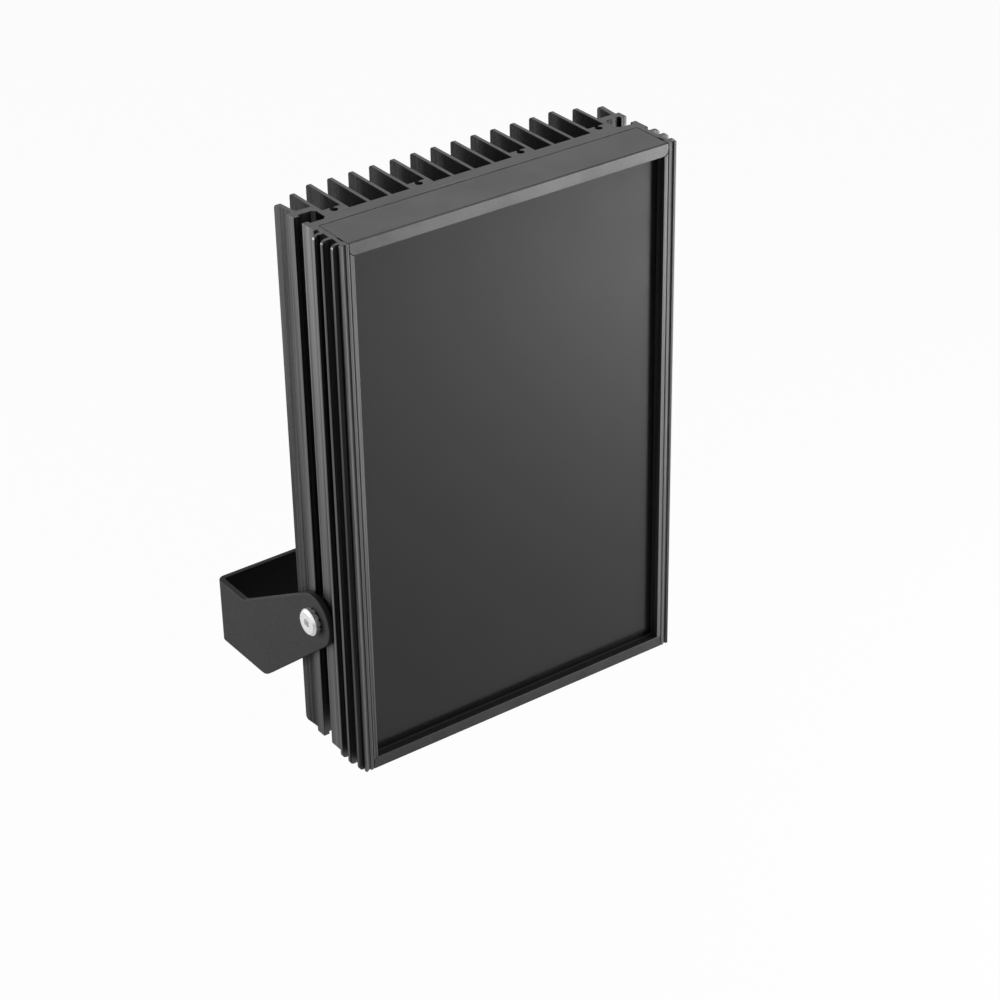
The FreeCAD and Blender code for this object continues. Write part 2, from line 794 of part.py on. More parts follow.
def slot_nut():
    outer = rib_half - slot_lip
    body = block(outer - nut_thickness, outer, slot_y - nut_width / 2, slot_y + nut_width / 2,
                 pivot_z - nut_height / 2, pivot_z + nut_height / 2)
    start = Vector(outer - nut_thickness, slot_y, pivot_z)
    return body.cut(rod(bolt_radius + thread_clearance, start, Vector(1, 0, 0), nut_thickness))


def tangent_point(y, z, side):
    # Where a line from (y, z) touches the arm's round eye, above it (side 1) or below it (side -1).
    dy, dz = y - slot_y, z - pivot_z
    turn = math.atan2(dz, dy) + side * math.acos(eye_radius / math.hypot(dy, dz))
    return Vector(0, slot_y + eye_radius * math.cos(turn), pivot_z + eye_radius * math.sin(turn))


def bracket_side_outline():
    # The bracket seen from the side: strap, sloping arm and round eye.
    strap_top = strap_low + strap_height
    upper_kink = Vector(0, slot_y + upper_kink_back, strap_top)
    lower_kink = Vector(0, slot_y + lower_kink_back, strap_low)
    upper_touch = tangent_point(upper_kink.y, upper_kink.z, 1)
    lower_touch = tangent_point(lower_kink.y, lower_kink.z, -1)
    eye_front = Vector(0, slot_y - eye_radius, pivot_z)
    corners = [upper_touch, upper_kink, Vector(0, wall_y, strap_top), Vector(0, wall_y, strap_low),
               lower_kink, lower_touch]
    edges = [Part.LineSegment(a, b).toShape() for a, b in zip(corners, corners[1:])]
    edges.append(Part.Arc(lower_touch, eye_front, upper_touch).toShape())
    return Part.Face(Part.Wire(edges))


def folded_strip():
    # The bracket seen from above: one strip with a round fold at each rear corner.
    low = strap_low - overshoot
    high = pivot_z + eye_radius + overshoot
    outer = block(-arm_outside, arm_outside, 0, wall_y, low, high)
    inner = block(-arm_inside, arm_inside, -overshoot, wall_y - sheet, low - overshoot, high + overshoot)
    bend_outer_radius = bend_inner_radius + sheet

    def rear_corner(shape_half, shape_rear):
        def chosen(edge):
            middle = edge.CenterOfMass
            in_corner = abs(abs(middle.x) - shape_half) < tiny and abs(middle.y - shape_rear) < tiny
            return in_corner and runs_along(edge, Vector(0, 0, 1))
        return chosen

    outer = round_edges(outer, bend_outer_radius, rear_corner(arm_outside, wall_y))
    inner = round_edges(inner, bend_inner_radius, rear_corner(arm_inside, wall_y - sheet))
    return outer.cut(inner)


def mounting_bracket():
    side_view = bracket_side_outline()
    side_view.translate(Vector(-arm_outside, 0, 0))
    shape = folded_strip().common(side_view.extrude(Vector(2 * arm_outside, 0, 0)))

    def kink(back, z):
        def chosen(edge):
            middle = edge.CenterOfMass
            return abs(middle.y - slot_y - back) < tiny and abs(middle.z - z) < tiny
        return chosen

    shape = round_edges(shape, upper_kink_radius, kink(upper_kink_back, strap_low + strap_height))
    shape = round_edges(shape, lower_kink_radius, kink(lower_kink_back, strap_low))
    eye_start = Vector(-arm_outside, slot_y, pivot_z)
    cuts = [rod(bolt_radius + bolt_hole_clearance, eye_start, Vector(1, 0, 0), 2 * arm_outside)]
    through = Vector(0, 1, 0)
    cuts.append(rod(wall_centre_hole_radius, Vector(0, wall_y - sheet, strap_middle), through, sheet))
    for side in (-1, 1):
        start = Vector(side * wall_bolt_spacing / 2, wall_y - sheet, strap_middle)
        cuts.append(rod(wall_bolt_hole_radius, start, through, sheet))
    return shape.cut(Part.makeCompound(cuts))


def all_pieces():
    screws = cap_screws()
    cap = top_end_cap()
    cap_gasket = top_cap_gasket()
    bolt, washer, nut, toothed = pivot_bolt(), pivot_washer(), slot_nut(), lock_washer()
    pieces = {
        "housing_extrusion": housing_extrusion(),
        "top_end_cap": cap,
        "bottom_end_cap": upside_down(cap),
        "top_cap_gasket": cap_gasket,
        "bottom_cap_gasket": upside_down(cap_gasket),
        "top_cap_screws": screws,
        "bottom_cap_screws": upside_down(screws),
        "front_window": front_window(),
        "window_gasket": window_gasket(),
        "board_link": board_link(),
        "driver_board": driver_board(),
        "driver_standoffs": driver_standoffs(),
        "driver_screws": driver_screws(),
        "driver_link": driver_link(),
        "driver_choke": choke(),
        "driver_capacitors": capacitors(),
        "terminal_block": terminal_block(),
        "photocell": photocell(),
        "gland_body": gland_body(),
        "gland_ring": gland_ring(),
        "gland_seal": gland_seal(),
        "gland_nut": gland_nut(),
        "pivot_bolt_right": bolt,
        "pivot_bolt_left": mirrored_x(bolt),
        "lock_washer_right": toothed,
        "lock_washer_left": mirrored_x(toothed),
        "pivot_washer_right": washer,
        "pivot_washer_left": mirrored_x(washer),
        "slot_nut_right": nut,
        "slot_nut_left": mirrored_x(nut),
        "mounting_bracket": mounting_bracket(),
    }
    for index, place in enumerate(("lower", "upper")):
        pieces["emitter_board_" + place] = emitter_board(index)
        pieces["thermal_pad_" + place] = thermal_pad(index)
        pieces["emitters_" + place] = emitters(index)
        pieces["reflector_" + place] = reflector(index)
        pieces["reflector_screws_" + place] = reflector_screws(index)
    return pieces


def main():
    os.makedirs("parts", exist_ok=True)
    to_wall_frame = Vector(0, -wall_y, -strap_middle)
    for name, shape in all_pieces().items():
        shape.translate(to_wall_frame)
        shape.exportStep("parts/" + name + ".step")
        print(name, len(shape.Solids), "solids,", round(shape.Volume / 1000, 2), "cm3")


main()
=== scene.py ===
# %% [markdown]
# This notebook dresses an infrared illuminator: a flat black lamp that floods a yard with light
# which only a camera can see. The pieces come ready made, at their real size, from the packed
# frame. Here each one gets the finish of the real material, the ones that show get eased edges,
# and then a plain white studio is lit round the lamp.

# %% Load the frame
import json
from math import atan2, cos, pi, radians, sin

import bmesh
import bpy
from mathutils import Matrix, Vector


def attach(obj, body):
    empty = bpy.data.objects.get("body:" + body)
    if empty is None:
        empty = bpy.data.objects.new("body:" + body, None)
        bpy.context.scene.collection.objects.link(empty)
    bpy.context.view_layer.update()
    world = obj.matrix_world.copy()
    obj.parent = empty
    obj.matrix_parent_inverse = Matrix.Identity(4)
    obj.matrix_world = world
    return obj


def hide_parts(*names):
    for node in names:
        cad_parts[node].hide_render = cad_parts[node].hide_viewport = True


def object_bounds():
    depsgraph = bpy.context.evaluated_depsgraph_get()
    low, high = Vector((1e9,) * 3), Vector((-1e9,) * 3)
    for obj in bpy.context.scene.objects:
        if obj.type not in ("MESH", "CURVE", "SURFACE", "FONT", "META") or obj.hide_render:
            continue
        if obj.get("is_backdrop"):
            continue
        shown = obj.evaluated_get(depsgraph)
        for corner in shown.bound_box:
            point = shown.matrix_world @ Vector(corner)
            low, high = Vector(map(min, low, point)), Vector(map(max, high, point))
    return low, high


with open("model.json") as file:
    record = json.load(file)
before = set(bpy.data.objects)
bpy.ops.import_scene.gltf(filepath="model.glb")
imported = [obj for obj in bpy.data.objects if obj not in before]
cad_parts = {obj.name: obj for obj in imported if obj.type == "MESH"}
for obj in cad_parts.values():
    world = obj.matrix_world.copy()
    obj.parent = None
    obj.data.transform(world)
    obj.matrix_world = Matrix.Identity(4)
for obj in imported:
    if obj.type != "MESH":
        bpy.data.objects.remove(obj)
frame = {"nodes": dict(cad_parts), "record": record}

cad_box = [list(corner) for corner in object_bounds()]
bodies = frame["record"]["behaviour"]["bodies"]
body_of_node = {node: body for body, nodes in bodies.items() for node in nodes}
slot_of_node = {row["node"]: row["material_slot"] for row in frame["record"]["subparts"]}
print("nodes:", len(frame["nodes"]), "bodies:", sorted(bodies))
print("size in mm:", [round(1000 * (high - low), 1) for low, high in zip(*cad_box)])

# %% [markdown]
# Blender measures in metres, and a maker thinks in millimetres, so one small value turns one
# into the other. The real lamp hangs on a wall and can slide down its slots by 186 mm and tilt. So
# the floor lies well below its lowest point, and no pose goes through it.

# %% Units and the floor's height
MM = 0.001
room_to_slide = 210 * MM
floor_height = cad_box[0][2] - room_to_slide
print("floor at", round(floor_height / MM, 1), "mm")

# %% [markdown]
# The camera stands where the photograph was taken: to the left of the lamp and well above it, with
# a long lens, so that the upright edges hardly run together. Its distance in metres, its lens and
# the small roll were solved from the straight edges of the lamp. A camera looks down its own -Z
# axis, so it is tracked to the aim point and then turned about that axis.

# %% Camera
camera_azimuth = radians(-35.37)
camera_elevation = radians(30.71)
camera_roll = radians(-1.06)
camera_distance = 1.2553
camera_aim = Vector((-10.85, -123.5, 89.7)) * MM
camera_lens_mm, camera_sensor_mm = 98.59, 36.0
towards_camera = Vector((
    sin(camera_azimuth) * cos(camera_elevation),
    -cos(camera_azimuth) * cos(camera_elevation),
    sin(camera_elevation),
))
camera_data = bpy.data.cameras.new("photo_camera")
camera_data.lens = camera_lens_mm
camera_data.sensor_width = camera_sensor_mm
camera = bpy.data.objects.new("photo_camera", camera_data)
bpy.context.scene.collection.objects.link(camera)
camera_place = camera_aim + towards_camera * camera_distance
turned = towards_camera.to_track_quat("Z", "Y").to_matrix() @ Matrix.Rotation(camera_roll, 3, "Z")
camera.matrix_world = Matrix.Translation(camera_place) @ turned.to_4x4()
bpy.context.scene.camera = camera
print("camera at", [round(value, 3) for value in camera_place])

# %% [markdown]
# Colours are written as the hex values that a screen shows. Shaders work on linear light, so one
# function turns them over, with the numbers of the sRGB standard. Leaving that step out makes every
# dark finish far too pale.

# %% Colours
def colour(code):
    shares = [int(code[n:n + 2], 16) / 255 for n in (1, 3, 5)]
    linear = [s / 12.92 if s <= 0.04045 else ((s + 0.055) / 1.055) ** 2.4 for s in shares]
    return (*linear, 1.0)


print("mid grey", [round(value, 3) for value in colour("#808080")])

# %% [markdown]
# Every material is a small tree of nodes. One function adds a node: settings are its own
# properties, and each entry of inputs is either a number to type in or another node's output to
# link. A second one starts a material, and hands back its tree, its main shader and the place of
# each point. A Mix node that mixes colours takes them as inputs 6 and 7, and gives the result as
# output 2.
#
# A pattern is noise on Object coordinates, which are metres on the piece. A Mapping node stretches
# it, and its scale is how many cells go into a metre, worked out from the cell's size in
# millimetres. Noise hovers round a half and seldom leaves the range from 0.3 to 0.7. Two noises
# added hover round one. The finishes are kept under the names of the frame's material slots.

# %% Helpers for node trees
noise_low, noise_high = 0.3, 0.7
finishes = {}


def add(tree, kind, inputs, **settings):
    node = tree.nodes.new(kind)
    for name, value in settings.items():
        setattr(node, name, value)
    for socket, value in inputs.items():
        if isinstance(value, bpy.types.NodeSocket):
            tree.links.new(value, node.inputs[socket])
        else:
            node.inputs[socket].default_value = value
    return node


def new_material(name):
    material = bpy.data.materials.new(name)
    material.use_nodes = True
    tree = material.node_tree
    shader = tree.nodes["Principled BSDF"]
    place = add(tree, "ShaderNodeTexCoord", {}).outputs["Object"]
    return material, tree, shader, place


def cells_per_metre(x_mm, y_mm, z_mm):
    return [1 / (size * MM) for size in (x_mm, y_mm, z_mm)]


def use(tree, shader, socket, output):
    tree.links.new(output, shader.inputs[socket])


print("cells of 1 mm in a metre:", round(cells_per_metre(1.0, 1.0, 1.0)[0]))

# %% [markdown]
# Black anodised aluminium is metal under a thin dyed glass-hard layer. To the eye it is a dark,
# satin grey that never turns quite black, with the fine die lines of the extrusion running
# up and down. The lines are noise squeezed to under a millimetre across and drawn out along the
# lamp. Real ones are finer still, and are drawn this coarse so that they show. They vary the
# colour, the gloss and, as a bump of a few hundredths of a millimetre, the surface.

# %% Anodised extrusion
def anodised_extrusion():
    material, tree, shader, place = new_material("black_anodised_extrusion")
    die_lines_cells = add(tree, "ShaderNodeMapping", {
        "Vector": place, "Scale": cells_per_metre(0.9, 0.9, 250.0)})
    die_lines = add(tree, "ShaderNodeTexNoise", {
        "Vector": die_lines_cells.outputs["Vector"],
        "Scale": 1.0, "Detail": 3.0, "Roughness": 0.6})
    broad_cells = add(tree, "ShaderNodeMapping", {
        "Vector": place, "Scale": cells_per_metre(5.0, 5.0, 400.0)})
    broad = add(tree, "ShaderNodeTexNoise", {
        "Vector": broad_cells.outputs["Vector"], "Scale": 1.0, "Detail": 2.0})
    mixed = add(tree, "ShaderNodeMath", {
        0: die_lines.outputs["Fac"], 1: broad.outputs["Fac"]}, operation="ADD")
    tone = add(tree, "ShaderNodeMapRange", {
        "Value": mixed.outputs[0], "From Min": 0.8, "From Max": 1.22})
    paint = add(tree, "ShaderNodeMix", {
        "Factor": tone.outputs[0], 6: colour("#2c2c2c"), 7: colour("#666666")},
        data_type="RGBA")
    gloss = add(tree, "ShaderNodeMapRange", {
        "Value": die_lines.outputs["Fac"], "From Min": noise_low, "From Max": noise_high,
        "To Min": 0.34, "To Max": 0.46})
    bump = add(tree, "ShaderNodeBump", {
        "Height": die_lines.outputs["Fac"], "Distance": 0.05 * MM, "Strength": 0.5})
    use(tree, shader, "Base Color", paint.outputs[2])
    use(tree, shader, "Roughness", gloss.outputs[0])
    use(tree, shader, "Normal", bump.outputs["Normal"])
    shader.inputs["Metallic"].default_value = 0.95
    return material


finishes["anodised_aluminium"] = anodised_extrusion()
print("made", finishes["anodised_aluminium"].name)

# %% [markdown]
# Deep between the cooling fins the die leaves a rougher skin, so the fins' sides are duller than
# the outside of the lamp, with coarser die lines and a speckle. Their dark tones are painted shade:
# the shade that falls between the fins, painted into the colour. The two wings have that skin too,
# with more lines than speckle, and their tones, darker than the outside but lighter than the fins',
# are painted shade as well. So the two tones and the share of the speckle are handed in.

# %% Skin between the fins, with painted shade
def painted_shade_skin(name, dark, light, speckle_share):
    material, tree, shader, place = new_material(name)
    die_lines_cells = add(tree, "ShaderNodeMapping", {
        "Vector": place, "Scale": cells_per_metre(1.6, 1.6, 250.0)})
    die_lines = add(tree, "ShaderNodeTexNoise", {
        "Vector": die_lines_cells.outputs["Vector"],
        "Scale": 1.0, "Detail": 3.0, "Roughness": 0.7})
    speckle_cells = add(tree, "ShaderNodeMapping", {
        "Vector": place, "Scale": cells_per_metre(0.9, 0.9, 1.6)})
    speckle = add(tree, "ShaderNodeTexNoise", {
        "Vector": speckle_cells.outputs["Vector"], "Scale": 1.0, "Detail": 2.0})
    mixed = add(tree, "ShaderNodeMath", {
        0: speckle.outputs["Fac"], 1: speckle_share, 2: die_lines.outputs["Fac"]},
        operation="MULTIPLY_ADD")
    middle = 0.5 + 0.5 * speckle_share
    darkest, lightest = middle - 0.16, middle + 0.18
    tone = add(tree, "ShaderNodeMapRange", {
        "Value": mixed.outputs[0], "From Min": darkest, "From Max": lightest})
    paint = add(tree, "ShaderNodeMix", {
        "Factor": tone.outputs[0], 6: colour(dark), 7: colour(light)},
        data_type="RGBA")
    bump = add(tree, "ShaderNodeBump", {
        "Height": mixed.outputs[0], "Distance": 0.06 * MM, "Strength": 0.5})
    use(tree, shader, "Base Color", paint.outputs[2])
    use(tree, shader, "Normal", bump.outputs["Normal"])
    shader.inputs["Metallic"].default_value = 0.95
    shader.inputs["Roughness"].default_value = 0.55
    return material


# Both skins are darker than the outside: painted shade between the fins and on the wings.
fin_side_painted_shade = painted_shade_skin("black_anodised_fin_painted_shade", "#0a0a0a", "#242424", speckle_share=0.8)
wing_side_painted_shade = painted_shade_skin("black_anodised_wing_painted_shade", "#101010", "#4a4a4a", speckle_share=0.15)
print("made", fin_side_painted_shade.name, "and", wing_side_painted_shade.name)

# %% [markdown]
# Where the extrusion was sawn to length the marks run across it. They are finer and a little
# duller than the die lines, and the dye takes slightly lighter on the fresh cut, so the cut ends
# get their own finish.

# %% Sawn ends
def sawn_ends():
    material, tree, shader, place = new_material("black_anodised_sawn_end")
    saw_lines_cells = add(tree, "ShaderNodeMapping", {
        "Vector": place, "Scale": cells_per_metre(30.0, 0.6, 30.0)})
    saw_lines = add(tree, "ShaderNodeTexNoise", {
        "Vector": saw_lines_cells.outputs["Vector"],
        "Scale": 1.0, "Detail": 3.0, "Roughness": 0.6})
    tone = add(tree, "ShaderNodeMapRange", {
        "Value": saw_lines.outputs["Fac"], "From Min": noise_low, "From Max": noise_high})
    paint = add(tree, "ShaderNodeMix", {
        "Factor": tone.outputs[0], 6: colour("#4e4e4e"), 7: colour("#646464")},
        data_type="RGBA")
    bump = add(tree, "ShaderNodeBump", {
        "Height": saw_lines.outputs["Fac"], "Distance": 0.04 * MM, "Strength": 0.5})
    use(tree, shader, "Base Color", paint.outputs[2])
    use(tree, shader, "Normal", bump.outputs["Normal"])
    shader.inputs["Metallic"].default_value = 0.95
    shader.inputs["Roughness"].default_value = 0.48
    return material


sawn_end = sawn_ends()
print("made", sawn_end.name)

# %% [markdown]
# The end caps are milled from plate, bead blasted and anodised with the rest. Blasting leaves a
# close, even grain with no direction, and a duller face than the extrusion's. The real grain is
# about a tenth of a millimetre, and it is drawn coarser so that it shows. The lower cap lies in
# less light, and a darker copy paints that shade into its colour, so the two tones are handed in.

# %% Blasted caps
def blasted_cap(name, dark, light):
    material, tree, shader, place = new_material(name)
    grain_cells = add(tree, "ShaderNodeMapping", {
        "Vector": place, "Scale": cells_per_metre(0.7, 0.7, 0.7)})
    grain = add(tree, "ShaderNodeTexNoise", {
        "Vector": grain_cells.outputs["Vector"], "Scale": 1.0, "Detail": 4.0, "Roughness": 0.65})
    cloud_cells = add(tree, "ShaderNodeMapping", {
        "Vector": place, "Scale": cells_per_metre(25.0, 25.0, 25.0)})
    cloud = add(tree, "ShaderNodeTexNoise", {
        "Vector": cloud_cells.outputs["Vector"], "Scale": 1.0, "Detail": 2.0})
    mixed = add(tree, "ShaderNodeMath", {
        0: grain.outputs["Fac"], 1: cloud.outputs["Fac"]}, operation="ADD")
    tone = add(tree, "ShaderNodeMapRange", {
        "Value": mixed.outputs[0], "From Min": 0.7, "From Max": 1.3})
    paint = add(tree, "ShaderNodeMix", {
        "Factor": tone.outputs[0], 6: colour(dark), 7: colour(light)},
        data_type="RGBA")
    gloss = add(tree, "ShaderNodeMapRange", {
        "Value": grain.outputs["Fac"], "From Min": noise_low, "From Max": noise_high,
        "To Min": 0.44, "To Max": 0.54})
    bump = add(tree, "ShaderNodeBump", {
        "Height": grain.outputs["Fac"], "Distance": 0.03 * MM, "Strength": 0.4})
    use(tree, shader, "Base Color", paint.outputs[2])
    use(tree, shader, "Roughness", gloss.outputs[0])
    use(tree, shader, "Normal", bump.outputs["Normal"])
    shader.inputs["Metallic"].default_value = 0.95
    return material


finishes["cap_aluminium"] = blasted_cap("black_anodised_blasted_cap", "#515151", "#616161")
# A darker copy for the lower cap: its darker tones are painted shade.
lower_cap_painted_shade = blasted_cap("black_anodised_cap_painted_shade", "#383838", "#444444")
print("made", finishes["cap_aluminium"].name, "and", lower_cap_painted_shade.name)

# %% [markdown]
# The window is cast acrylic dyed so that only infrared passes. Visible light sees an opaque,
# nearly black sheet with a soft gloss, which picks up the bright studio as a long gradient. Cast
# sheet is never dead flat, so a slow wave bends that gradient by a hair.

# %% Infrared window
def infrared_acrylic():
    material, tree, shader, place = new_material("infrared_pass_acrylic")
    wave_cells = add(tree, "ShaderNodeMapping", {
        "Vector": place, "Scale": cells_per_metre(70.0, 70.0, 90.0)})
    wave = add(tree, "ShaderNodeTexNoise", {
        "Vector": wave_cells.outputs["Vector"], "Scale": 1.0, "Detail": 1.0})
    haze_cells = add(tree, "ShaderNodeMapping", {
        "Vector": place, "Scale": cells_per_metre(18.0, 18.0, 18.0)})
    haze = add(tree, "ShaderNodeTexNoise", {
        "Vector": haze_cells.outputs["Vector"], "Scale": 1.0, "Detail": 3.0})
    paint = add(tree, "ShaderNodeMix", {
        "Factor": haze.outputs["Fac"], 6: colour("#0a0a0a"), 7: colour("#0d0d0d")},
        data_type="RGBA")
    gloss = add(tree, "ShaderNodeMapRange", {
        "Value": haze.outputs["Fac"], "From Min": noise_low, "From Max": noise_high,
        "To Min": 0.2, "To Max": 0.24})
    bump = add(tree, "ShaderNodeBump", {
        "Height": wave.outputs["Fac"], "Distance": 0.2 * MM, "Strength": 0.3})
    use(tree, shader, "Base Color", paint.outputs[2])
    use(tree, shader, "Roughness", gloss.outputs[0])
    use(tree, shader, "Normal", bump.outputs["Normal"])
    shader.inputs["IOR"].default_value = 1.49
    shader.inputs["Specular IOR Level"].default_value = 0.35
    return material


finishes["window_acrylic"] = infrared_acrylic()
print("made", finishes["window_acrylic"].name)

# %% [markdown]
# The bracket is powder coated. The powder melts into a tough skin that keeps a fine orange peel:
# shallow dimples about a millimetre apart that break up its dull shine. Charged powder hardly
# reaches into a fold, so the inside is thinner and duller. It also lies in less light, and a darker
# copy paints that shade into its colour. So the two tones and the shine are handed in.

# %% Powder coat
def powder_coat(name, dark, light, shine):
    material, tree, shader, place = new_material(name)
    peel_cells = add(tree, "ShaderNodeMapping", {
        "Vector": place, "Scale": cells_per_metre(1.1, 1.1, 1.1)})
    peel = add(tree, "ShaderNodeTexNoise", {
        "Vector": peel_cells.outputs["Vector"], "Scale": 1.0, "Detail": 2.0, "Roughness": 0.5})
    cloud_cells = add(tree, "ShaderNodeMapping", {
        "Vector": place, "Scale": cells_per_metre(20.0, 20.0, 20.0)})
    cloud = add(tree, "ShaderNodeTexNoise", {
        "Vector": cloud_cells.outputs["Vector"], "Scale": 1.0, "Detail": 2.0})
    paint = add(tree, "ShaderNodeMix", {
        "Factor": cloud.outputs["Fac"], 6: colour(dark), 7: colour(light)},
        data_type="RGBA")
    gloss = add(tree, "ShaderNodeMapRange", {
        "Value": peel.outputs["Fac"], "From Min": noise_low, "From Max": noise_high,
        "To Min": 0.5, "To Max": 0.62})
    bump = add(tree, "ShaderNodeBump", {
        "Height": peel.outputs["Fac"], "Distance": 0.12 * MM, "Strength": 0.5})
    use(tree, shader, "Base Color", paint.outputs[2])
    use(tree, shader, "Roughness", gloss.outputs[0])
    use(tree, shader, "Normal", bump.outputs["Normal"])
    shader.inputs["Specular IOR Level"].default_value = shine
    return material


finishes["bracket_paint"] = powder_coat("black_powder_coat", "#1e1e1e", "#262626", shine=0.18)
# The inside of the fold: a thinner, duller coat, and darker tones that are painted shade.
thin_coat_painted_shade = powder_coat("thin_powder_coat_painted_shade", "#0a0a0a", "#0e0e0e", shine=0.06)
print("made", finishes["bracket_paint"].name, "and", thin_coat_painted_shade.name)

# %% [markdown]
# The pivot bolts are stainless steel, turned and polished. Polished metal shows its surroundings
# more than itself, so the colour is a pale grey, the roughness is low, and the faint rings that the
# lathe left are noise across the bolt with hardly any depth. They too are coarser than real ones.

# %% Polished steel
def polished_steel():
    material, tree, shader, place = new_material("polished_stainless_steel")
    rings_cells = add(tree, "ShaderNodeMapping", {
        "Vector": place, "Scale": cells_per_metre(20.0, 0.5, 0.5)})
    rings = add(tree, "ShaderNodeTexNoise", {
        "Vector": rings_cells.outputs["Vector"], "Scale": 1.0, "Detail": 2.0})
    paint = add(tree, "ShaderNodeMix", {
        "Factor": rings.outputs["Fac"], 6: colour("#e2e2e2"), 7: colour("#f4f4f4")},
        data_type="RGBA")
    gloss = add(tree, "ShaderNodeMapRange", {
        "Value": rings.outputs["Fac"], "From Min": noise_low, "From Max": noise_high,
        "To Min": 0.26, "To Max": 0.36})
    bump = add(tree, "ShaderNodeBump", {
        "Height": rings.outputs["Fac"], "Distance": 0.02 * MM, "Strength": 0.3})
    use(tree, shader, "Base Color", paint.outputs[2])
    use(tree, shader, "Roughness", gloss.outputs[0])
    use(tree, shader, "Normal", bump.outputs["Normal"])
    shader.inputs["Metallic"].default_value = 1.0
    return material


finishes["bolt_steel"] = polished_steel()
print("made", finishes["bolt_steel"].name)

# %% [markdown]
# The smaller fasteners are zinc plated: greyer than stainless, with a slightly cloudy shine.

# %% Zinc plate
def zinc_plate():
    material, tree, shader, place = new_material("zinc_plated_steel")
    cloud_cells = add(tree, "ShaderNodeMapping", {
        "Vector": place, "Scale": cells_per_metre(1.5, 1.5, 1.5)})
    cloud = add(tree, "ShaderNodeTexNoise", {
        "Vector": cloud_cells.outputs["Vector"], "Scale": 1.0, "Detail": 4.0})
    paint = add(tree, "ShaderNodeMix", {
        "Factor": cloud.outputs["Fac"], 6: colour("#8f9194"), 7: colour("#b4b6b8")},
        data_type="RGBA")
    gloss = add(tree, "ShaderNodeMapRange", {
        "Value": cloud.outputs["Fac"], "From Min": noise_low, "From Max": noise_high,
        "To Min": 0.25, "To Max": 0.4})
    use(tree, shader, "Base Color", paint.outputs[2])
    use(tree, shader, "Roughness", gloss.outputs[0])
    shader.inputs["Metallic"].default_value = 1.0
    return material


finishes["screw_steel"] = zinc_plate()
print("made", finishes["screw_steel"].name)

# %% [markdown]
# The plain materials share one recipe: a base colour that drifts a little between two tones, a
# grain coarse enough to show and a small bump. What differs is listed in a table, one row for each
# material slot: the name, the two tones, the grain in millimetres, the roughness, the bump in
# millimetres and 1 for a metal or 0 for any other.

# %% Plain materials
roughness_drift = 0.06


def plain_material(name, dark, light, grain_mm, roughness, bump_mm, metallic):
    material, tree, shader, place = new_material(name)
    grain_cells = add(tree, "ShaderNodeMapping", {
        "Vector": place, "Scale": cells_per_metre(grain_mm, grain_mm, grain_mm)})
    grain = add(tree, "ShaderNodeTexNoise", {
        "Vector": grain_cells.outputs["Vector"], "Scale": 1.0, "Detail": 3.0})
    paint = add(tree, "ShaderNodeMix", {
        "Factor": grain.outputs["Fac"], 6: colour(dark), 7: colour(light)},
        data_type="RGBA")
    gloss = add(tree, "ShaderNodeMapRange", {
        "Value": grain.outputs["Fac"], "From Min": noise_low, "From Max": noise_high,
        "To Min": roughness - roughness_drift, "To Max": roughness + roughness_drift})
    bump = add(tree, "ShaderNodeBump", {
        "Height": grain.outputs["Fac"], "Distance": bump_mm * MM, "Strength": 0.5})
    use(tree, shader, "Base Color", paint.outputs[2])
    use(tree, shader, "Roughness", gloss.outputs[0])
    use(tree, shader, "Normal", bump.outputs["Normal"])
    shader.inputs["Metallic"].default_value = metallic
    return material


plain_rows = {
    "washer_nylon": ("black_nylon", "#141414", "#1c1c1c", 0.8, 0.5, 0.02, 0.0),
    "seal_rubber": ("black_silicone_rubber", "#0c0c0c", "#141414", 0.5, 0.8, 0.03, 0.0),
    "gland_nylon": ("moulded_black_nylon", "#161616", "#202020", 0.6, 0.45, 0.03, 0.0),
    "emitter_board": ("white_solder_mask", "#dcdcd6", "#ecece6", 1.5, 0.4, 0.01, 0.0),
    "emitter_package": ("clear_emitter_resin", "#b9ae8c", "#d8cfae", 0.8, 0.15, 0.01, 0.0),
    "thermal_pad": ("grey_gap_filler", "#7c8794", "#909aa6", 0.4, 0.8, 0.02, 0.0),
    "reflector_plastic": ("vacuum_metallised_plastic", "#c4c6c8", "#d6d8da", 3.0, 0.14, 0.01, 1.0),
    "driver_board": ("green_solder_mask", "#12402a", "#1a5437", 1.2, 0.35, 0.01, 0.0),
    "connector_plastic": ("moulded_white_nylon", "#c9c6bb", "#dbd8cd", 0.8, 0.45, 0.02, 0.0),
    "standoff_brass": ("turned_brass", "#b48a3c", "#cda554", 0.6, 0.25, 0.01, 1.0),
    "choke_ferrite": ("pressed_ferrite", "#26262a", "#323238", 0.4, 0.7, 0.04, 0.0),
    "capacitor_can": ("capacitor_sleeve", "#191d30", "#22283e", 2.0, 0.3, 0.01, 0.0),
}
for slot, row in plain_rows.items():
    finishes[slot] = plain_material(*row)
missing = sorted(set(slot_of_node.values()) - set(finishes))
print("finishes:", len(finishes), "missing:", missing)

# %% [markdown]
# First every node takes the finish of its slot. The ones inside the lamp stay as they are, and
# the ones that show are dressed in the next steps.

# %% Finish for every node
for node, piece in frame["nodes"].items():
    piece.data.materials.clear()
    piece.data.materials.append(finishes[slot_of_node[node]])
print("painted", len(frame["nodes"]), "nodes")

# %% [markdown]
# A frame node is a loose heap of triangles with knife-sharp edges. On a real lamp each edge is
# broken a little, by the die, a file or the coat, and that thin round is what catches the light.
# So a copy is welded, its flat triangles are dissolved into whole faces, and every edge that turns
# clearly is bevelled. A round wall is many narrow flats that turn by less than 10 degrees, and it
# stays as it is.

# %% Welding and easing
weld_mm = 0.002
flat_degrees, edge_degrees = 0.5, 28


